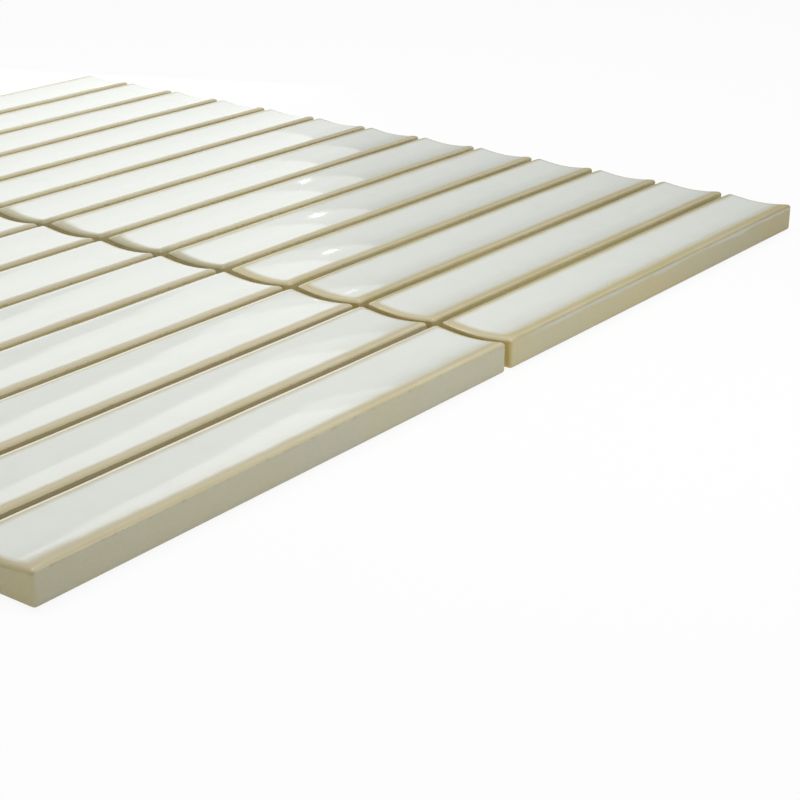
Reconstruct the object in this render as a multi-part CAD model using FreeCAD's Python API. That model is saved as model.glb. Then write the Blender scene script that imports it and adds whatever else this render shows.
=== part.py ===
"""Mosaic sheet of pressed porcelain stick tiles, set in two columns on an open glass-fibre mesh.

Units are millimetres. X runs along the sticks, Y across the rows, +Z is the glazed face's side.
The origin is at the middle of the sheet, on the plane that the mesh lies on.
"""

import FreeCAD
import Part

import math
import os

# One stick tile
tile_length = 145.0
tile_width = 20.1
tile_thickness = 7.4  # from the back to the crest of the rim
trough_depth = 1.0  # how far the middle of the glazed face lies below the crest
corner_radius = 0.9  # upright corners, seen from above
rim_chamfer = 0.6  # bevel between the glazed face and the sides
back_chamfer = 0.3  # slope that the press leaves round the back

# Keying grooves in the back of a tile
groove_count = 3
groove_width = 2.4
groove_depth = 0.5
groove_spacing = 5.0
groove_end_margin = 8.0

# How the tiles are set
column_names = ("left", "right")
row_count = 13
joint_width = 2.2

# Glass-fibre mesh glued to the backs
strand_width = 0.9
strand_thickness = 0.2
strand_pitch = 5.0
mesh_inset = 2.5  # from the outer tiles' edges to the mesh's cut edge

column_pitch = tile_length + joint_width
row_pitch = tile_width + joint_width
sheet_length = len(column_names) * column_pitch - joint_width
sheet_width = row_count * row_pitch - joint_width
back_level = 2 * strand_thickness


def rim_loss(rim_slope):
    """How far the bevel lowers the crest below the edge that the trough and the side make."""
    return rim_chamfer * math.sin(rim_slope)


def trough_radius():
    """Radius of the trough whose bevelled rim stands trough_depth above its middle.

    The bevel's height depends on the slope that the radius gives, so a few rounds settle both.
    """
    half_width = 0.5 * tile_width
    chord_depth = trough_depth
    for _ in range(20):
        radius = (half_width**2 + chord_depth**2) / (2 * chord_depth)
        chord_depth = trough_depth + rim_loss(math.asin(half_width / radius))
    return (half_width**2 + chord_depth**2) / (2 * chord_depth)


def box_blank():
    """A square-cornered block, up to where the trough would meet the sides."""
    rim_slope = math.asin(0.5 * tile_width / trough_radius())
    height = tile_thickness + rim_loss(rim_slope)
    corner = FreeCAD.Vector(-0.5 * tile_length, -0.5 * tile_width, 0)
    return Part.makeBox(tile_length, tile_width, height, corner)


def is_upright(edge):
    """True for a straight edge that runs along Z."""
    start, end = (vertex.Point for vertex in edge.Vertexes)
    return abs(end.z - start.z) > 0.5 * tile_thickness


def is_on_back(edge):
    """True for an edge that lies in the plane of the back."""
    return edge.BoundBox.ZMax < 0.5 * back_chamfer


def pressed_blank():
    """The block with rounded upright corners and a mitred slope round its back."""
    block = box_blank()
    sloped = block.makeChamfer(back_chamfer, [edge for edge in block.Edges if is_on_back(edge)])
    rounded = block.makeFillet(corner_radius, [edge for edge in block.Edges if is_upright(edge)])
    return sloped.common(rounded)


def trough_cutter():
    """A long round bar that hollows the upper face from end to end."""
    radius = trough_radius()
    reach = 2 * corner_radius
    return Part.makeCylinder(
        radius,
        tile_length + 2 * reach,
        FreeCAD.Vector(-0.5 * tile_length - reach, 0, tile_thickness - trough_depth + radius),
        FreeCAD.Vector(1, 0, 0),
    )


def glazed_face(solid):
    """The trough: the only face with the trough's radius."""
    radius = trough_radius()
    for face in solid.Faces:
        if isinstance(face.Surface, Part.Cylinder) and abs(face.Surface.Radius - radius) < 1e-6:
            return face
    raise ValueError("the tile has no trough")


def edges_around(solid, face):
    """The outer edges of one face, as edges of the solid."""
    return [edge for edge in solid.Edges if any(edge.isSame(rim) for rim in face.OuterWire.Edges)]


def groove_cutter(offset):
    """One keying groove, cut into the back at this distance from the middle line."""
    half_length = 0.5 * tile_length - groove_end_margin
    corner = FreeCAD.Vector(-half_length, offset - 0.5 * groove_width, 0)
    return Part.makeBox(2 * half_length, groove_width, groove_depth, corner)


def stick_tile():
    """One tile with its back on z = 0 and its middle over the origin."""
    tile = pressed_blank().cut(trough_cutter())
    tile = tile.makeChamfer(rim_chamfer, edges_around(tile, glazed_face(tile)))
    middle = 0.5 * (groove_count - 1)
    for number in range(groove_count):
        tile = tile.cut(groove_cutter((number - middle) * groove_spacing))
    return tile.Solids[0]


def strand(length, level, along_x, offset):
    """One flat strand of the mesh, centred on the sheet, this far from the sheet's middle line."""
    if along_x:
        size = (length, strand_width)
        middle = (0, offset)
    else:
        size = (strand_width, length)
        middle = (offset, 0)
    corner = FreeCAD.Vector(middle[0] - 0.5 * size[0], middle[1] - 0.5 * size[1], level)
    return Part.makeBox(size[0], size[1], strand_thickness, corner)


def strand_layer(length, spread, level, along_x):
    """Parallel strands over the mesh's spread, one of them on the middle line."""
    steps = math.floor((0.5 * spread - 0.5 * strand_width) / strand_pitch)
    offsets = [step * strand_pitch for step in range(-steps, steps + 1)]
    return Part.makeCompound([strand(length, level, along_x, offset) for offset in offsets])


def write(shape, node):
    shape.exportStep(os.path.join("parts", node + ".step"))


def main():
    os.makedirs("parts", exist_ok=True)
    tile = stick_tile()
    for row in range(row_count):
        for column, column_name in enumerate(column_names):
            placed = tile.copy()
            x = (column - 0.5 * (len(column_names) - 1)) * column_pitch
            y = (row - 0.5 * (row_count - 1)) * row_pitch
            placed.translate(FreeCAD.Vector(x, y, back_level))
            write(placed, f"stick_tile_row{row + 1:02d}_{column_name}")

    mesh_length = sheet_length - 2 * mesh_inset
    mesh_width = sheet_width - 2 * mesh_inset
    write(strand_layer(mesh_length, mesh_width, 0, True), "mesh_long_strands")
    write(strand_layer(mesh_width, mesh_length, strand_thickness, False), "mesh_cross_strands")


main()
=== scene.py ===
"""Looks of a mesh-backed sheet of glazed porcelain stick tiles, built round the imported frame.

Lengths named _mm are millimetres on the object, and everything given to Blender is in metres.
"""

import math

import bpy
import numpy as np
from mathutils import Matrix, Vector


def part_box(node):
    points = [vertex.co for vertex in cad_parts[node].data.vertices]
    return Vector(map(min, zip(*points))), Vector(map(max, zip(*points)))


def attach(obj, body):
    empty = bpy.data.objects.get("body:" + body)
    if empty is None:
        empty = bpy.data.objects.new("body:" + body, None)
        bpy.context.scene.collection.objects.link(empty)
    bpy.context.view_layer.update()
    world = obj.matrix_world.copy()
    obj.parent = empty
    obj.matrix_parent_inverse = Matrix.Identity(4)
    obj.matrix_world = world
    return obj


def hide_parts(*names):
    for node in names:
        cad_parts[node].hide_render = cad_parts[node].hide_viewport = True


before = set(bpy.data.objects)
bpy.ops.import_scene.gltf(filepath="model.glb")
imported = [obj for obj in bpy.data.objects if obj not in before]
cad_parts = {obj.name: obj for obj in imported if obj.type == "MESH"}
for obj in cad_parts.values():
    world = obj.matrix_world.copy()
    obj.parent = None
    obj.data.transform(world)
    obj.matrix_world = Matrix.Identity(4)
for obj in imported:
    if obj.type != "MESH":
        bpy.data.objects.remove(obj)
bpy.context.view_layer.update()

mm = 0.001

# One tile's own shape
tile_shrink_mm = 0.04  # firing leaves each tile a hair inside its nominal size
trough_radius_mm = 47.8
corner_radius_mm = 0.9
least_radius_mm = 0.4  # of the corners, on the rings that lie farther in
# The rim's section: a tight bend where it leaves the side, then a gentle one up to the crest
rim_bend_mm = 0.1
rim_crown_mm = 1.1
rim_bend_end = 58  # degrees that the surface leans from level where the tight bend ends
far_rim_share = 0.35  # the far rim's width and height, as a share of the near one's
# The trough eases over into the crest over these widths; the far crest already falls where its rim starts
near_crest_mm = 0.8
far_crest_mm = 1.1
far_crest_fall = 0.36
end_drop_mm = 0.22  # how far the face falls towards its ends, over the length below
end_ease_mm = 3.0
back_chamfer_mm = 0.3
groove_offsets_mm = (-5.0, 0.0, 5.0)
groove_width_mm = 2.4
groove_depth_mm = 0.5
groove_wall_mm = 0.1
groove_end_margin_mm = 8.0
crest_margin_mm = 0.05  # room under the top of the frame for the waves of the glaze
glaze_waves_mm = ((70, 0.030), (38, 0.016), (21, 0.006))  # length and height of each wave
wave_turn = 0.25  # how far a wave's direction may turn across the tile, for 1 along it
tilt_limits = (0.0003, 0.003)  # slopes by which a face may tilt, along the tile and across it

# Width of the band along each edge in which the glaze thins out, at places spread evenly along that edge
# in the direction of X or Y. Each differs by the spread from tile to tile, and some tiles have their own.
thin_glaze_mm = {"left": (2.4, 2.4), "right": (1.7, 1.7), "near": (2.7,) * 5}
far_thin_glaze_mm = {"left": (1.3, 1.3), "right": (2.4, 2.4)}  # the far edge's width in each column
thin_glaze_spread = 0.12
own_thin_glaze_mm = {
    "row01_left": {"far": (2.4, 2.4), "near": (5.8, 4.5, 4.4, 4.7, 4.9)},
    "row01_right": {"left": (3.6, 3.6), "near": (4.8, 4.9, 5.4, 5.6, 5.5)},
    "row02_left": {"far": (2.3, 2.3), "near": (3.6, 3.4, 3.3, 4.1, 4.2)},
    "row02_right": {"left": (2.9, 2.9), "near": (4.3, 4.2, 4.0, 3.9, 3.9)},
    "row03_left": {"far": (2.0, 2.0), "near": (3.7, 3.6, 3.2, 3.3, 3.5)},
    "row03_right": {"left": (2.6, 4.2), "near": (3.8, 3.9, 3.9, 3.9, 3.9)},
    "row04_left": {"near": (3.4, 3.3, 3.2, 3.1, 3.1)},
    "row04_right": {"left": (2.3, 4.0), "near": (3.6, 3.7, 3.8, 3.8, 3.8)},
    "row05_right": {"left": (1.6, 4.6), "near": (2.4, 2.6, 3.2, 3.3, 3.3)},
    "row06_right": {"left": (1.5, 5.6), "near": (2.6, 2.6, 2.8, 3.0, 3.0)},
    "row07_right": {"left": (1.5, 5.6), "near": (2.6, 2.6, 2.8, 2.8, 2.8)},
    "row08_right": {"left": (1.5, 5.2)},
}
cover_lost_per_mm = 0.5  # how much less the glaze covers for each mm below the unrounded face

# Bands along a tile's edges. Each effect is full up to the first distance and gone from the second
crest_highlight_band_mm = (0.9, 1.6)  # the painted highlight along the near crest
flank_band_mm = (3.0, 10.0)  # thinner glaze on the near flank of the hollow
rim_band_mm = (0.8, 1.3)  # the rim's shine, which falls from the first value to the second
rim_shine = 0.6
crest_shine = 0.35
far_gloss_and_highlight_band_mm = (1.2, 1.7)  # the shiny far rim, which also gets a painted cream highlight
far_gloss_and_highlight_shine = {"left": 0.93, "right": 0.72}
left_end_band_mm = (0.8, 2.3)  # the paler crest at the left ends of the right column
dark_reflection_band_mm = (3.0, 6.0)  # the grey painted dark reflection that takes its place in the rows at the back
dark_reflection_edge_band_mm = (0.9, 1.6)  # the darker line, painted shade, at the painted dark reflection's outer edge
dark_reflection_edge_shade = 0.3

# Changes over the sheet. Each is still absent in the first of two rows and complete in the second
pale_rows = (3, 6)  # paler rims
painted_light_rows = (3, 5)  # painted light: lighter walls inside the joints
dark_reflection_rows = (4, 5)  # painted dark reflections in place of paler crests at the left ends
joint_wall_painted_light = 0.8
end_wall_painted_light = 0.64  # painted light on the walls on a tile's ends
painted_light_run_mm = (0, 50)  # distances from the left end over which painted light grows on the right column's walls
shade_places_mm = (-146, -125, 60, 146)  # places along the sheet for painted shade, darker towards its ends
shade_amounts = (0.07, 0, 0, 0.22)  # amounts of painted shade at these places

# From 0, the cool colour of the fired body, to 1, the warm one
column_warmth = {"left": 0.0, "right": 0.6}
warmth_spread = 0.1
# the tile ends are warmer: painted warm shade
end_painted_shade_warmth = 0.8

# Thin glaze that ran over the near side: plainly on one tile, hardly at all on the others
spill_tile = "stick_tile_row01_right"
spill_start_mm = (6, 16)  # distances from its left end between which the run begins
spill_limit = 0.2

# How finely a tile is divided
corner_steps = 4
inner_line_mm = 3.7  # first straight grid line, measured in from the tile's edge
line_step_mm = 2.1
line_room = 0.4  # an even line gives way to a groove's line that is nearer than this share of a step
back_rings_mm = ((back_chamfer_mm, 0.0), (0.06, 0.25), (0.0, 0.37))  # inset and level of each
wall_levels = (0.12, 0.32, 0.55, 0.78, 0.93)  # shares of the height between chamfer and rim
rim_leans = (90, 74, 58, 47, 36, 24, 12, 0)  # degrees from level at the rings of the rim
shelf_insets_mm = (1.2, 1.5, 1.8, 2.15, 2.5)  # rings between the rim and the inner grid
far_shelf_end_mm = 2.0  # where the last of these lies on the far side
ring_count = len(back_rings_mm) + len(wall_levels) + len(rim_leans) + len(shelf_insets_mm)
sharp_angle = 50  # degrees between faces from which an edge is sharp

# Glass-fibre mesh
yarn_pitch_mm = 5.0
yarn_width_mm = 0.9
yarn_lift_mm = 0.2  # thickness of one layer of yarn
yarn_thinning = 0.12  # largest share of its width that a strand loses in places
yarn_wander_mm = 0.10
wander_length_mm = (45, 80)
yarn_trim_mm = (0.05, 0.6)  # how much shorter than the frame's mesh a strand may be at each end
yarn_look_offset_mm = 400  # gives each strand filaments of its own
yarn_sides = 6
yarn_steps_per_crossing = 4

# Camera, from the photograph's perspective
camera_place_mm = (-332.33, -362.31, 152.01)
camera_azimuth = 53.07  # degrees from +Y towards +X
camera_dip = 21.85
camera_roll = 0.34
camera_lens = 82.68
camera_sensor = 36


# Small helpers for shader nodes


def new_material(name):
    """An empty node material with its output and one Principled shader, linked."""
    material = bpy.data.materials.new(name)
    material.use_nodes = True
    nodes = material.node_tree.nodes
    nodes.clear()
    output = nodes.new("ShaderNodeOutputMaterial")
    shader = nodes.new("ShaderNodeBsdfPrincipled")
    material.node_tree.links.new(shader.outputs["BSDF"], output.inputs["Surface"])
    return material, shader


class Graph:
    """Short calls for the node types that the materials use."""

    def __init__(self, tree):
        self.tree = tree

    def link(self, value, socket):
        """Sets a socket to a number or colour, or links another node's output to it."""
        if isinstance(value, bpy.types.NodeSocket):
            self.tree.links.new(value, socket)
        else:
            socket.default_value = value

    def attribute(self, name):
        """One of the numbers stored on a mesh's points."""
        node = self.tree.nodes.new("ShaderNodeAttribute")
        node.attribute_name = name
        return node.outputs["Fac"]

    def place(self):
        """Position on the object, in metres."""
        return self.tree.nodes.new("ShaderNodeTexCoord").outputs["Object"]

    def stretched(self, vector, scale):
        """The vector with each axis scaled: a noise is drawn out along the axes below 1."""
        node = self.tree.nodes.new("ShaderNodeMapping")
        self.link(vector, node.inputs["Vector"])
        node.inputs["Scale"].default_value = scale
        return node.outputs["Vector"]

    def noise(self, vector, size, detail=2.0, roughness=0.5):
        """Noise from 0 to 1 whose blotches are about this large, in the vector's units."""
        node = self.tree.nodes.new("ShaderNodeTexNoise")
        self.link(vector, node.inputs["Vector"])
        node.inputs["Scale"].default_value = 1 / size
        node.inputs["Detail"].default_value = detail
        node.inputs["Roughness"].default_value = roughness
        return node.outputs["Fac"]

    def math(self, operation, a, b=0.0, clamp=False):
        node = self.tree.nodes.new("ShaderNodeMath")
        node.operation = operation
        node.use_clamp = clamp
        self.link(a, node.inputs[0])
        self.link(b, node.inputs[1])
        return node.outputs[0]

    def product(self, *factors):
        """The factors multiplied, numbers and outputs alike."""
        result = factors[0]
        for factor in factors[1:]:
            result = self.math("MULTIPLY", result, factor)
        return result

    def ramp(self, value, low, high, start=0.0, end=1.0, smooth=True):
        """start below low, end above high, and a smooth or straight change between."""
        node = self.tree.nodes.new("ShaderNodeMapRange")
        node.interpolation_type = "SMOOTHSTEP" if smooth else "LINEAR"
        self.link(value, node.inputs["Value"])
        for name, number in (("From Min", low), ("From Max", high), ("To Min", start), ("To Max", end)):
            self.link(number, node.inputs[name])
        return node.outputs["Result"]

    def mix(self, share, a, b):
        """Colour a where share is 0 and colour b where it is 1."""
        node = self.tree.nodes.new("ShaderNodeMix")
        node.data_type = "RGBA"
        colour_a, colour_b = [s for s in node.inputs if s.type == "RGBA"]
        self.link(share, node.inputs["Factor"])
        self.link(a, colour_a)
        self.link(b, colour_b)
        return next(s for s in node.outputs if s.type == "RGBA")

    def bump(self, height, distance_mm, normal=None):
        node = self.tree.nodes.new("ShaderNodeBump")
        node.inputs["Distance"].default_value = distance_mm * mm
        self.link(height, node.inputs["Height"])
        if normal is not None:
            self.link(normal, node.inputs["Normal"])
        return node.outputs["Normal"]


# Porcelain

body_cool = (0.62, 0.595, 0.455, 1)
body_warm = (0.67, 0.585, 0.335, 1)
grain_brown = (0.35, 0.29, 0.17, 1)
rim_cool = (0.54, 0.47, 0.315, 1)
rim_warm = (0.52, 0.45, 0.22, 1)
# Painted highlight along the near crest
crest_highlight_cool = (0.625, 0.55, 0.36, 1)
crest_highlight_warm = (0.49, 0.42, 0.215, 1)
crest_end = (0.62, 0.54, 0.345, 1)  # at the left ends of the right column
back_rim_cool = (0.57, 0.51, 0.36, 1)  # rims of the rows at the back
back_rim_warm = (0.63, 0.57, 0.38, 1)
# Painted highlight on the shiny far rim
rim_painted_highlight = (0.73, 0.69, 0.52, 1)
# Painted dark reflection
dark_reflection_grey = (0.50, 0.47, 0.32, 1)
joint_shade_cool = (0.64, 0.55, 0.33, 1)  # painted shade: the walls inside the joints, yellower and darker
joint_shade_warm = (0.66, 0.54, 0.22, 1)
joint_painted_light = (0.82, 0.74, 0.44, 1)  # painted light: the same walls lighter at the back and in the right column
# Painted shade
painted_shade_brown = (0.36, 0.29, 0.14, 1)
glaze_white = (0.815, 0.83, 0.785, 1)
glaze_near = (0.73, 0.745, 0.685, 1)  # thinner, on the near flank of the hollow
glaze_spill = (0.63, 0.63, 0.565, 1)
speck_brown = (0.16, 0.13, 0.09, 1)
fleck_brown = (0.42, 0.35, 0.22, 1)

# Depths below the unrounded face, between which each thing starts or ends
glossy_drop_mm = (0.35, 0.75)
fleck_start_mm = (0.25, 0.5)
fleck_end_mm = (0.6, 1.1)
run_start_mm = (0.5, 0.7)

opaque_cover = (0.38, 1.05)  # values of cover between which the glaze turns from clear to white
border_blotch_mm = 7.0  # the border of the white wanders in blotches of this size
border_wander = 0.3
patch_mm = 22.0
patch_warmth = 0.25
grain_mm = 0.45
grain_share = 0.16
blotch_limits = (0.3, 0.7)  # values of a noise between which patches and grain change
fleck_mm = 1.1
fleck_stretch = (0.6, 0.6, 1.0)
fleck_limits = (0.52, 0.66)
fleck_share = 0.55
painted_highlight_limits = (0.7, 0.93)  # shine between which a rim turns to its painted cream highlight
run_mm = 5.0
run_stretch = (0.4, 0.4, 1.6)
run_reach_mm = 3.1  # how far down the glaze runs where its noise is 1
run_edge_mm = (-0.5, 0.3)
run_share = 0.85
run_gloss = 0.45
speck_spacing_mm = 21
speck_picks = (0.62, 0.63)  # only cells whose random value is above these have a speck
speck_reach = (0.006, 0.014)  # a speck's size, as a share of the spacing
speck_share = 0.55
body_roughness = 0.62
glaze_roughness = 0.09
glaze_ior = 1.5
peel_mm = 5.0  # slight unevenness of the glaze, and its height
peel_height_mm = 0.006
sand_mm = 0.35  # grain of the unglazed body, and its height
sand_height_mm = 0.09


def body_colour(g, place, warmth, drop):
    """Fired body: grain, walls inside the joints with painted shade and painted light, rims under thin glaze
    with painted highlights and a painted dark reflection, flecks below them, and painted shade towards the
    sheet's ends.
    """
    grain = g.ramp(g.noise(place, grain_mm * mm, 3.0, 0.65), *blotch_limits, 0.0, grain_share, smooth=False)
    body = g.mix(grain, g.mix(warmth, body_cool, body_warm), grain_brown)
    # painted shade on the walls that face a joint, lifted by painted light at the back and in the right
    # column
    joint_shade = g.mix(g.attribute("light"), g.mix(warmth, joint_shade_cool, joint_shade_warm), joint_painted_light)
    body = g.mix(g.attribute("joint_shade"), body, joint_shade)

    rim = g.mix(warmth, rim_cool, rim_warm)
    # painted highlight along the near crest
    rim = g.mix(g.attribute("crest"), rim, g.mix(warmth, crest_highlight_cool, crest_highlight_warm))
    rim = g.mix(g.attribute("pale"), rim, g.mix(warmth, back_rim_cool, back_rim_warm))
    rim = g.mix(g.attribute("left_end"), rim, crest_end)
    # painted dark reflection at the left ends of the right column, in the rows at the back
    rim = g.mix(g.attribute("dark_reflection"), rim, dark_reflection_grey)
    # painted highlight: the shiniest rims turn cream
    rim = g.mix(g.ramp(g.attribute("shine"), *painted_highlight_limits), rim, rim_painted_highlight)
    body = g.mix(g.ramp(drop, *glossy_drop_mm, 1.0, 0.0), body, rim)

    fleck = g.ramp(g.noise(g.stretched(place, fleck_stretch), fleck_mm * mm, 3.0, 0.7), *fleck_limits)
    band = g.product(g.ramp(drop, *fleck_start_mm), g.ramp(drop, *fleck_end_mm, 1.0, 0.0))
    body = g.mix(g.product(fleck, band, fleck_share), body, fleck_brown)
    # painted shade, darker towards the sheet's ends, most at the right end
    return g.mix(g.attribute("shade"), body, painted_shade_brown)


def glaze_run(g, place, drop):
    """1 where thin glaze ran over the upper part of a side."""
    noise = g.noise(g.stretched(place, run_stretch), run_mm * mm, 4.0, 0.65)
    edge = g.math("SUBTRACT", drop, g.product(noise, run_reach_mm))
    return g.product(g.ramp(edge, *run_edge_mm, 1.0, 0.0), g.ramp(drop, *run_start_mm), g.attribute("spill"))


def glaze_specks(g, place):
    """Above 0 at a few pinholes and specks in the glaze."""
    cells = g.tree.nodes.new("ShaderNodeTexVoronoi")
    g.link(place, cells.inputs["Vector"])
    cells.inputs["Scale"].default_value = 1 / (speck_spacing_mm * mm)
    picked = g.ramp(cells.outputs["Color"], *speck_picks)
    return g.product(g.ramp(cells.outputs["Distance"], *speck_reach, 1.0, 0.0), picked, speck_share)


def porcelain_material():
    """White gloss glaze in the trough, thinning out to the beige body on the rims and sides."""
    material, shader = new_material("glazed_porcelain")
    g = Graph(material.node_tree)
    place = g.place()
    drop = g.attribute("drop_mm")
    glossy = g.ramp(drop, *glossy_drop_mm, 1.0, 0.0)

    patches = g.ramp(g.noise(place, patch_mm * mm, 2.0), *blotch_limits, -patch_warmth, patch_warmth)
    warmth = g.math("ADD", patches, g.attribute("tone"), clamp=True)
    run = glaze_run(g, place, drop)
    body = g.mix(g.product(run, run_share), body_colour(g, place, warmth, drop), glaze_spill)

    centred = g.math("SUBTRACT", g.noise(place, border_blotch_mm * mm, 3.0), 0.5)
    cover = g.math("ADD", g.attribute("cover"), g.product(centred, border_wander))
    opaque = g.ramp(cover, *opaque_cover)
    white = g.mix(g.attribute("thin"), glaze_white, glaze_near)
    colour = g.mix(glaze_specks(g, place), g.mix(opaque, body, white), speck_brown)
    g.link(colour, shader.inputs["Base Color"])

    gloss = g.math("MAXIMUM", g.product(glossy, g.attribute("shine")), g.product(run, run_gloss))
    gloss = g.math("MAXIMUM", gloss, opaque)
    g.link(g.ramp(gloss, 0.0, 1.0, body_roughness, glaze_roughness), shader.inputs["Roughness"])
    shader.inputs["IOR"].default_value = glaze_ior

    peel = g.bump(g.noise(place, peel_mm * mm, 1.0), peel_height_mm)
    sand = g.product(g.noise(place, sand_mm * mm, 3.0, 0.7), g.math("SUBTRACT", 1.0, glossy))
    g.link(g.bump(sand, sand_height_mm, peel), shader.inputs["Normal"])
    return material


# Glass yarn

yarn_shadow = (0.66, 0.64, 0.56, 1)
yarn_pale = (0.86, 0.85, 0.80, 1)
resin_cream = (0.72, 0.69, 0.58, 1)
filaments_across = 9.0  # blotches of the filaments' noise in a mm across a strand
filaments_along = 0.35  # and along it
filament_height_mm = 0.05
resin_mm = 14.0
resin_limits = (0.45, 0.7)
resin_share = 0.35
yarn_roughness = 0.6
resin_roughness = 0.3


def yarn_material():
    """Off-white resin-bonded glass yarn with fine filaments along each strand."""
    material, shader = new_material("glass_fibre_mesh")
    g = Graph(material.node_tree)
    lines = g.tree.nodes.new("ShaderNodeCombineXYZ")
    g.link(g.product(g.attribute("across_mm"), filaments_across), lines.inputs["X"])
    g.link(g.product(g.attribute("along_mm"), filaments_along), lines.inputs["Y"])
    filament = g.noise(lines.outputs["Vector"], 1.0)
    colour = g.mix(g.ramp(filament, *blotch_limits), yarn_shadow, yarn_pale)
    resin = g.ramp(g.noise(g.place(), resin_mm * mm, 3.0), *resin_limits)
    g.link(g.mix(g.product(resin, resin_share), colour, resin_cream), shader.inputs["Base Color"])
    g.link(g.ramp(resin, 0.0, 1.0, yarn_roughness, resin_roughness), shader.inputs["Roughness"])
    g.link(g.bump(filament, filament_height_mm), shader.inputs["Normal"])
    return material


# The layout that all tiles share


def straight_lines(half, extra):
    """Grid lines between the corner zones: evenly spaced, and exactly at the extra places."""
    limit = half - inner_line_mm
    count = max(2, round(2 * limit / line_step_mm))
    even = np.linspace(-limit, limit, count + 1)
    kept = [x for x in even if not any(abs(x - e) < line_room * line_step_mm for e in extra)]
    return np.array(sorted(set(kept) | {-limit, limit} | set(extra)))


class TileGrid:
    """The mesh layout that all tiles share: rings round the sides, and a grid on face and back."""

    def __init__(self, length, width):
        self.half = np.array([0.5 * length - tile_shrink_mm, 0.5 * width - tile_shrink_mm])
        self.groove_half = 0.5 * length - groove_end_margin_mm
        ends = [s * (self.groove_half - w) for s in (-1, 1) for w in (0, groove_wall_mm)]
        walls = [
            offset + s * (0.5 * groove_width_mm - w)
            for offset in groove_offsets_mm
            for s in (-1, 1)
            for w in (0, groove_wall_mm)
        ]
        self.x_lines = straight_lines(self.half[0], ends)
        self.y_lines = straight_lines(self.half[1], walls)
        self.columns = len(self.x_lines) + 2 * corner_steps + 1
        self.rows = len(self.y_lines) + 2 * corner_steps + 1
        self.ring_size = 2 * (self.columns + self.rows)

    def side(self, lines, half_here, radius):
        """Places of the nodes along one side, given from one corner's middle to the next one's."""
        angles = np.radians(np.linspace(45, 90, corner_steps + 1))
        arc_along = radius - half_here - radius * np.cos(angles)
        arc_out = radius * np.sin(angles) - radius
        along = np.concatenate([arc_along, lines, -arc_along[::-1]])
        out = np.concatenate([arc_out, np.zeros(len(lines)), arc_out[::-1]])
        return along, out

    def outline(self, inset):
        """The ring of points that lies this far inside the tile's outline, or less on the far side."""
        radius = max(corner_radius_mm - inset, least_radius_mm)
        half_x, half_y = self.half - inset
        x_along, x_out = self.side(self.x_lines, half_x, radius)
        y_along, y_out = self.side(self.y_lines, half_y, radius)
        front = np.stack([x_along, -half_y - x_out], 1)
        right = np.stack([half_x + y_out, y_along], 1)
        back = np.stack([x_along, half_y + x_out], 1)[::-1]
        left = np.stack([-half_x - y_out, y_along], 1)[::-1]
        ring = np.concatenate([front[:-1], right[:-1], back[:-1], left[:-1]])
        ring[:, 1] += (inset - far_inset(inset)) * (ring[:, 1] + half_y) / (2 * half_y)
        return ring

    def rim_share(self, outline):
        """How high the rim stands at each point: 1 at the near edge, and far_rim_share at the far one."""
        return 1 - (1 - far_rim_share) * (outline[:, 1] + self.half[1]) / (2 * self.half[1])

    def groove_mask(self):
        """1 where an inner node of the back's grid lies on the floor of a groove."""
        margin = 1e-6
        outer_x, outer_y = ([half] * corner_steps for half in self.half)
        inner_x = np.abs(np.concatenate([outer_x, self.x_lines, outer_x]))
        inner_y = np.concatenate([outer_y, self.y_lines, outer_y])
        in_x = inner_x < self.groove_half - groove_wall_mm + margin
        floor_half = 0.5 * groove_width_mm - groove_wall_mm + margin
        in_y = np.any([np.abs(inner_y - offset) < floor_half for offset in groove_offsets_mm], axis=0)
        return np.outer(in_x, in_y).astype(float)


def fill_ring(ring, columns, rows):
    """Fills a four-sided ring of points with a smooth grid; returns an array [column, row, xy]."""
    front = ring[: columns + 1]
    right = ring[columns : columns + rows + 1]
    back = ring[columns + rows : 2 * columns + rows + 1][::-1]
    left = np.concatenate([ring[2 * columns + rows :], ring[:1]])[::-1]
    u = ((front[:, 0] - front[0, 0]) / (front[-1, 0] - front[0, 0]))[:, None, None]
    v = ((left[:, 1] - left[0, 1]) / (left[-1, 1] - left[0, 1]))[None, :, None]
    across = (1 - v) * front[:, None] + v * back[:, None]
    along = (1 - u) * left[None] + u * right[None]
    corners = (1 - u) * (1 - v) * front[0] + u * (1 - v) * front[-1]
    corners = corners + (1 - u) * v * back[0] + u * v * back[-1]
    return across + along - corners


def tile_faces(grid):
    """Quads of the shared layout: the rings first, then the face's grid and the back's."""
    size, columns, rows = grid.ring_size, grid.columns, grid.rows
    faces = []
    for ring in range(ring_count - 1):
        for i in range(size):
            a, b = ring * size + i, ring * size + (i + 1) % size
            faces.append((a, b, b + size, a + size))

    def node(i, j, ring, inner_start):
        """Point number of a grid node: on the ring at the border, or else among the inner ones."""
        if j == 0:
            return ring * size + i
        if i == columns:
            return ring * size + columns + j
        if j == rows:
            return ring * size + columns + rows + columns - i
        if i == 0:
            return ring * size + (2 * columns + 2 * rows - j) % size
        return inner_start + (i - 1) * (rows - 1) + j - 1

    top_start = ring_count * size
    bottom_start = top_start + (columns - 1) * (rows - 1)
    for i in range(columns):
        for j in range(rows):
            corners = ((i, j), (i + 1, j), (i + 1, j + 1), (i, j + 1))
            faces.append([node(a, b, ring_count - 1, top_start) for a, b in corners])
            faces.append([node(a, b, 0, bottom_start) for a, b in corners[::-1]])
    return faces


# One tile's shape


def rim_section(lean):
    """Inset from the side and height above the rim's foot where the rim leans this far from level."""
    lean, bend_end = math.radians(lean), math.radians(rim_bend_end)
    bend = max(lean, bend_end)
    inset = rim_bend_mm * (1 - math.sin(bend))
    height = rim_bend_mm * math.cos(bend)
    if lean < bend_end:
        inset += rim_crown_mm * (math.sin(bend_end) - math.sin(lean))
        height += rim_crown_mm * (math.cos(lean) - math.cos(bend_end))
    return inset, height


rim_width_mm, rim_height_mm = rim_section(0)


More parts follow.
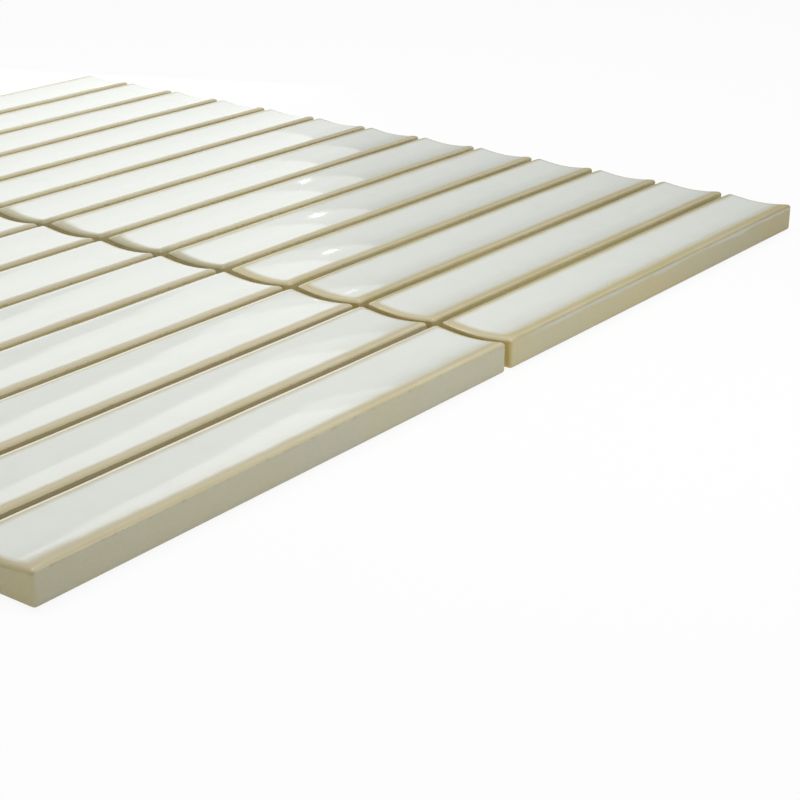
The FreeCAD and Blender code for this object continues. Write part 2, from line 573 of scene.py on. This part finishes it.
def far_inset(inset):
    """How far inside the outline a ring lies on the far side, when it lies this far in elsewhere."""
    places = (0, rim_width_mm, shelf_insets_mm[-1])
    return np.interp(inset, places, (0, far_rim_share * rim_width_mm, far_shelf_end_mm))


def trough(points, half):
    """Height of the hollowed face over its middle line: round, easing over into crests all round."""
    along, across = points.T
    far = across > 0
    crest = np.where(far, far_crest_mm, near_crest_mm)
    start = half[1] - crest - rim_width_mm * np.where(far, far_rim_share, 1.0)
    hollow = np.minimum(np.abs(across), start) ** 2 / (2 * trough_radius_mm)
    slope = start / trough_radius_mm
    beyond = np.clip(np.abs(across) - start, 0, crest)
    turn = slope + np.where(far, far_crest_fall, 0.0)
    eased = slope * beyond - turn * beyond**2 / (2 * crest)
    near_end = np.clip(1 - (half[0] - np.abs(along)) / end_ease_mm, 0, 1)
    return hollow + eased - end_drop_mm * near_end**2


def crest_height(half):
    """The trough function's greatest value."""
    across = np.linspace(-half[1], half[1], 400)
    return trough(np.column_stack([np.zeros_like(across), across]), half).max()


def glaze_waves(points, seed):
    """Slow waves that the molten glaze leaves in the face."""
    rng = np.random.default_rng(seed)
    height = np.zeros(len(points))
    for length_mm, amplitude_mm in glaze_waves_mm:
        direction = np.array([1.0, rng.uniform(-wave_turn, wave_turn)])
        phase = rng.uniform(0, 2 * math.pi)
        height += amplitude_mm * np.sin(2 * math.pi * points @ direction / length_mm + phase)
    return height


def tile_points(grid, thickness, rng):
    """A tile's points about its own middle, and how far each lies below the face before it is rounded."""
    crest = crest_height(grid.half)
    tilt = rng.uniform(-1, 1, 2) * tilt_limits
    wave_seed = rng.integers(1 << 30)

    def face_level(points):
        """Height of the glazed face, before its rim is rounded off."""
        level = thickness - crest_margin_mm - crest + trough(points, grid.half)
        return level + glaze_waves(points, wave_seed) + points @ tilt - np.abs(tilt) @ grid.half

    def ring_at(outline, level):
        return np.column_stack([outline, np.broadcast_to(level, len(outline))])

    rings = [ring_at(grid.outline(inset), level) for inset, level in back_rings_mm]
    edge = grid.outline(0.0)
    low = back_rings_mm[-1][1]
    high = face_level(edge) - rim_height_mm * grid.rim_share(edge)
    rings += [ring_at(edge, low + share * (high - low)) for share in wall_levels]
    for lean in rim_leans:
        inset, height = rim_section(lean)
        outline = grid.outline(inset)
        level = face_level(outline) - (rim_height_mm - height) * grid.rim_share(outline)
        rings.append(ring_at(outline, level))
    shelves = [grid.outline(inset) for inset in shelf_insets_mm]
    rings += [ring_at(shelf, face_level(shelf)) for shelf in shelves]

    top = fill_ring(rings[-1][:, :2], grid.columns, grid.rows)[1:-1, 1:-1].reshape(-1, 2)
    top = np.column_stack([top, face_level(top)])
    bottom = fill_ring(rings[0][:, :2], grid.columns, grid.rows)[1:-1, 1:-1]
    groove = grid.groove_mask()[:, :, None] * groove_depth_mm
    bottom = np.concatenate([bottom, groove], 2).reshape(-1, 3)

    points = np.concatenate(rings + [top, bottom])
    return points, np.maximum(face_level(points[:, :2]) - points[:, 2], 0)


# Shader values on a tile's points


def tile_place(node):
    """Row number and column name of a tile node."""
    row, column = node.removeprefix("stick_tile_row").split("_")
    return int(row), column


tile_nodes = sorted(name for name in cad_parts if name.startswith("stick_tile"))
last_row = tile_place(tile_nodes[-1])[0]


def glaze_widths(node, rng):
    """How wide the thin glaze is along each edge of this tile."""
    own = own_thin_glaze_mm.get(node.removeprefix("stick_tile_"), {})
    usual = {**thin_glaze_mm, "far": far_thin_glaze_mm[tile_place(node)[1]]}
    widths = {}
    for side, width in usual.items():
        spread = 1 + thin_glaze_spread * rng.uniform(-1, 1, len(width))
        widths[side] = np.array(own.get(side, np.array(width) * spread))
    return widths


def glaze_cover(points, half, widths):
    """0 at the tile's outline, rising to 1 where the glaze is thick enough to be white."""
    along, across = points[:, :2].T

    def width(side, position, reach):
        return np.interp(position, np.linspace(-reach, reach, len(widths[side])), widths[side])

    width_x = np.where(along < 0, width("left", across, half[1]), width("right", across, half[1]))
    width_y = np.where(across < 0, width("near", along, half[0]), width("far", along, half[0]))
    short_x = np.maximum(1 - (half[0] - np.abs(along)) / width_x, 0)
    short_y = np.maximum(1 - (half[1] - np.abs(across)) / width_y, 0)
    return 1 - np.hypot(short_x, short_y)


def glaze_values(points, drop, half, widths, column):
    """How the glaze lies on a tile."""
    from_near = half[1] + points[:, 1]
    from_far = half[1] - points[:, 1]
    inset = np.min(half - np.abs(points[:, :2]), axis=1)
    shine = np.interp(inset, rim_band_mm, (rim_shine, crest_shine))
    return {
        "drop_mm": drop,
        "cover": glaze_cover(points, half, widths) - cover_lost_per_mm * drop,
        # where the painted highlight along the near crest lies
        "crest": np.interp(from_near, crest_highlight_band_mm, (1, 0)),
        "thin": np.interp(from_near, flank_band_mm, (1, 0)),
        "shine": np.maximum(shine, np.interp(from_far, far_gloss_and_highlight_band_mm, (far_gloss_and_highlight_shine[column], 0))),
    }


def joint_walls(points, half, row, column):
    """1 on the sides that face a joint and 0 on those that face outwards, fading over the corners; this
    places the painted shade of the joint walls.
    """
    x, y = points[:, :2].T
    distances = [half[0] + x if column == "right" else half[0] - x]
    if row > 1:
        distances.append(half[1] + y)
    if row < last_row:
        distances.append(half[1] - y)
    return np.clip(1 - np.min(distances, axis=0) / corner_radius_mm, 0, 1)


def sheet_values(points, half, node, middle_x, rng):
    """What changes on a tile with its place in the sheet, painted light and shade among it."""
    row, column = tile_place(node)
    right = column == "right"
    x = points[:, 0]
    from_left = half[0] + x
    on_end = np.clip((np.abs(x) - half[0] + corner_radius_mm) / corner_radius_mm, 0, 1)
    # the ends get a warmer tone, which is painted warm shade
    tone = column_warmth[column] + rng.uniform(-warmth_spread, warmth_spread) + end_painted_shade_warmth * on_end

    # painted light on the joint walls, growing rightwards in the right column and towards the back
    at_back = np.interp(row, painted_light_rows, (0, 1))
    light = np.maximum(np.interp(from_left, painted_light_run_mm, (0, joint_wall_painted_light)) * right, joint_wall_painted_light * at_back)
    light = np.where(np.abs(x) < half[0] - corner_radius_mm, light, end_wall_painted_light * at_back)

    # where the painted dark reflection lies: the right column's left ends, at the back
    dark_reflection_share = np.interp(row, dark_reflection_rows, (0, 1)) * right
    dark_reflection = dark_reflection_share * np.interp(from_left, dark_reflection_band_mm, (1, 0))
    # painted shade, darker towards the sheet's ends
    shade = np.interp(x + middle_x, shade_places_mm, shade_amounts)
    if node == spill_tile:
        spill = np.interp(from_left, spill_start_mm, (0, 1))
    else:
        spill = np.full(len(points), rng.uniform(0.0, spill_limit))
    return {
        "tone": tone,
        "joint_shade": joint_walls(points, half, row, column),
        "light": light,
        "pale": np.full(len(points), np.interp(row, pale_rows, (0, 1))),
        "left_end": (right - dark_reflection_share) * np.interp(from_left, left_end_band_mm, (1, 0)),
        "dark_reflection": dark_reflection,
        # painted shade along the sheet, plus a darker line at the painted dark reflection's outer edge
        "shade": shade + dark_reflection_edge_shade * dark_reflection * np.interp(from_left, dark_reflection_edge_band_mm, (1, 0)),
        "spill": spill,
    }


# Pieces


def box_mm(node):
    """A node's lowest and highest corners."""
    low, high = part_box(node)
    return np.array(low) / mm, np.array(high) / mm


def add_piece(name, points_mm, faces, values, material):
    """A smooth mesh object with its shader values stored on its points."""
    mesh = bpy.data.meshes.new(name)
    mesh.from_pydata((points_mm * mm).tolist(), [], faces)
    for value_name, numbers in values.items():
        attribute = mesh.attributes.new(value_name, "FLOAT", "POINT")
        attribute.data.foreach_set("value", np.asarray(numbers, np.float32))
    mesh.polygons.foreach_set("use_smooth", [True] * len(mesh.polygons))
    mesh.set_sharp_from_angle(angle=math.radians(sharp_angle))
    mesh.materials.append(material)
    piece = bpy.data.objects.new(name, mesh)
    bpy.context.scene.collection.objects.link(piece)
    return piece


def add_tiles(material):
    """One dressed tile in the place of each tile node."""
    low, high = box_mm(tile_nodes[0])
    grid = TileGrid(high[0] - low[0], high[1] - low[1])
    faces = tile_faces(grid)
    for seed, node in enumerate(tile_nodes, start=100):
        low, high = box_mm(node)
        middle = np.array([0.5 * (low[0] + high[0]), 0.5 * (low[1] + high[1]), low[2]])
        rng = np.random.default_rng(seed)
        widths = glaze_widths(node, rng)
        points, drop = tile_points(grid, high[2] - low[2], rng)
        values = glaze_values(points, drop, grid.half, widths, tile_place(node)[1])
        values.update(sheet_values(points, grid.half, node, middle[0], rng))
        piece = add_piece("glazed_" + node, points + middle, faces, values, material)
        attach(piece, "root")
        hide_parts(node)


def yarn(start, direction, length, first_crossing, phase, rng):
    """One woven strand: rings of points along a wave that passes over and under its neighbours."""
    steps = round(length / yarn_pitch_mm * yarn_steps_per_crossing)
    along = np.linspace(0, length, steps + 1)
    side = np.array([-direction[1], direction[0], 0.0])
    wave = np.cos(math.pi * (along - first_crossing) / yarn_pitch_mm + phase)
    turns = 2 * math.pi * along / rng.uniform(*wander_length_mm)
    wander = yarn_wander_mm * np.sin(turns + rng.uniform(0, 6))
    widths = 0.5 * yarn_width_mm * (1 - yarn_thinning * rng.random(steps + 1))
    angles = 2 * math.pi * np.arange(yarn_sides) / yarn_sides
    rings, across = [], []
    for distance, height, shift, half_width in zip(along, wave, wander, widths):
        centre = start + distance * np.array([*direction, 0.0])
        offset = shift + half_width * np.cos(angles)
        level = yarn_lift_mm * (1 + 0.5 * (np.sin(angles) - height))
        rings.append(centre + offset[:, None] * side + level[:, None] * np.array([0, 0, 1.0]))
        across.append(offset - shift)
    return np.concatenate(rings), np.concatenate(across), np.repeat(along, yarn_sides)


def yarn_faces(ring_total, first_point):
    """Quads round a strand, and a cap at each end."""
    faces = []
    for ring in range(ring_total - 1):
        for i in range(yarn_sides):
            a = first_point + ring * yarn_sides + i
            b = first_point + ring * yarn_sides + (i + 1) % yarn_sides
            faces.append((a, b, b + yarn_sides, a + yarn_sides))
    last = first_point + (ring_total - 1) * yarn_sides
    faces.append(tuple(first_point + i for i in reversed(range(yarn_sides))))
    faces.append(tuple(last + i for i in range(yarn_sides)))
    return faces


def add_yarn_layer(node, other_node, direction, material, seed):
    """All strands of one direction as one piece, woven with the other layer's strands."""
    low, high = box_mm(node)
    other_low, _ = box_mm(other_node)
    run, spread = (0, 1) if direction[0] else (1, 0)
    rng = np.random.default_rng(seed)
    count = round((high[spread] - low[spread] - yarn_width_mm) / yarn_pitch_mm) + 1
    first_crossing = other_low[run] + 0.5 * yarn_width_mm - low[run]
    points, across, along, faces, total = [], [], [], [], 0
    for number in range(count):
        trim = rng.uniform(*yarn_trim_mm)
        start = np.zeros(3)
        start[run] = low[run] + trim
        start[spread] = low[spread] + 0.5 * yarn_width_mm + number * yarn_pitch_mm
        length = high[run] - low[run] - 2 * trim
        phase = math.pi * (number + run)
        strand, strand_across, strand_along = yarn(
            start, direction, length, first_crossing - trim, phase, rng
        )
        faces += yarn_faces(len(strand) // yarn_sides, total)
        total += len(strand)
        points.append(strand)
        across.append(strand_across)
        along.append(strand_along + yarn_look_offset_mm * number)
    values = {"across_mm": np.concatenate(across), "along_mm": np.concatenate(along)}
    piece = add_piece("woven_" + node, np.concatenate(points), faces, values, material)
    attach(piece, "root")
    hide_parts(node)


# Studio

room_grey = (0.36, 0.37, 0.36, 1)
floor_grey = (0.92, 0.92, 0.92, 1)
floor_glow = 0.91  # how much of the floor that the camera and reflections see is plain white
floor_reach = 30.0  # metres, as the next one
floor_level = -0.0001


def add_camera():
    azimuth, dip, roll = (math.radians(a) for a in (camera_azimuth, camera_dip, camera_roll))
    forward = Vector((math.sin(azimuth) * math.cos(dip), math.cos(azimuth) * math.cos(dip), -math.sin(dip)))
    level = Vector((math.cos(azimuth), -math.sin(azimuth), 0))
    upward = level.cross(forward)
    right = level * math.cos(roll) + upward * math.sin(roll)
    up = upward * math.cos(roll) - level * math.sin(roll)
    data = bpy.data.cameras.new("camera")
    data.lens = camera_lens
    data.sensor_width = camera_sensor
    data.clip_start = 0.01
    data.clip_end = 100
    camera = bpy.data.objects.new("camera", data)
    turn = Matrix((right, up, -forward)).transposed().to_4x4()
    camera.matrix_world = Matrix.Translation(Vector(camera_place_mm) * mm) @ turn
    bpy.context.scene.collection.objects.link(camera)
    bpy.context.scene.camera = camera


def add_lamp(name, place_mm, aim_mm, size_mm, radiance, spread=180):
    """A soft rectangular lamp; its power follows from its brightness. Only its light is seen."""
    data = bpy.data.lights.new(name, "AREA")
    data.shape = "RECTANGLE"
    data.size, data.size_y = (side * mm for side in size_mm)
    data.energy = radiance * math.pi * data.size * data.size_y
    data.spread = math.radians(spread)
    lamp = bpy.data.objects.new(name, data)
    lamp.location = Vector(place_mm) * mm
    lamp.rotation_mode = "QUATERNION"
    lamp.rotation_quaternion = (Vector(place_mm) - Vector(aim_mm)).to_track_quat("Z", "Y")
    lamp.visible_camera = False
    bpy.context.scene.collection.objects.link(lamp)


def add_card(name, azimuth, distance_mm, reach_mm, height_mm, radiance):
    """An upright glowing card that faces the object; reach is measured along it, rightwards."""
    a = math.radians(azimuth)
    facing = Vector((math.sin(a), math.cos(a), 0))
    along = Vector((math.cos(a), -math.sin(a), 0))
    low, high = reach_mm
    middle = facing * distance_mm + along * 0.5 * (low + high) + Vector((0, 0, 0.5 * height_mm))
    add_lamp(name, middle, middle - facing, (high - low, height_mm), radiance)


def add_world():
    """A plain grey room."""
    world = bpy.data.worlds.new("room")
    world.use_nodes = True
    bpy.context.scene.world = world
    background = world.node_tree.nodes["Background"]
    background.inputs["Color"].default_value = room_grey
    background.inputs["Strength"].default_value = 1.0


def floor_material():
    """White that keeps shadows, and looks whiter to the camera and in reflections than it lights."""
    material, shader = new_material("floor_white")
    g = Graph(material.node_tree)
    nodes = material.node_tree.nodes
    shader.inputs["Base Color"].default_value = floor_grey
    shader.inputs["Roughness"].default_value = 1.0
    shader.inputs["Specular IOR Level"].default_value = 0.0
    glow = nodes.new("ShaderNodeEmission")
    glow.inputs["Strength"].default_value = 1.0
    path = nodes.new("ShaderNodeLightPath")
    seen = g.math("MAXIMUM", path.outputs["Is Camera Ray"], path.outputs["Is Glossy Ray"])
    seen = g.math("MAXIMUM", seen, path.outputs["Is Transmission Ray"])
    blend = nodes.new("ShaderNodeMixShader")
    g.link(g.product(seen, floor_glow), blend.inputs["Fac"])
    g.link(shader.outputs["BSDF"], blend.inputs[1])
    g.link(glow.outputs["Emission"], blend.inputs[2])
    output = next(node for node in nodes if node.type == "OUTPUT_MATERIAL")
    g.link(blend.outputs["Shader"], output.inputs["Surface"])
    return material


def add_floor():
    """A flat floor just under the sheet."""
    mesh = bpy.data.meshes.new("floor")
    signs = ((-1, -1), (1, -1), (1, 1), (-1, 1))
    corners = [(x * floor_reach, y * floor_reach, floor_level) for x, y in signs]
    mesh.from_pydata(corners, [], [(0, 1, 2, 3)])
    mesh.materials.append(floor_material())
    floor = bpy.data.objects.new("floor", mesh)
    bpy.context.scene.collection.objects.link(floor)


add_camera()
add_tiles(porcelain_material())
yarn_look = yarn_material()
add_yarn_layer("mesh_long_strands", "mesh_cross_strands", (1, 0), yarn_look, seed=7)
add_yarn_layer("mesh_cross_strands", "mesh_long_strands", (0, 1), yarn_look, seed=8)
add_world()
add_floor()
add_lamp("overhead", (-20, 20, 650), (-20, 20, 0), size_mm=(420, 420), radiance=4.1)
add_lamp("fill", (-5, -255, 155), (-5, -60, 0), size_mm=(100, 70), radiance=3.4)
add_lamp("side", (850, -40, 660), (0, 0, 0), size_mm=(400, 400), radiance=1.3)
add_card("card", 65, 230, reach_mm=(-500, 4), height_mm=173, radiance=0.80)
add_card("card_fringe", 65, 230, reach_mm=(4, 22), height_mm=173, radiance=0.4)
add_lamp("bulb", (203.4, 74.1, 75.3), (53, -39, 7), size_mm=(4, 2.2), radiance=0.1, spread=15)
bpy.context.scene.view_settings.view_transform = "Standard"
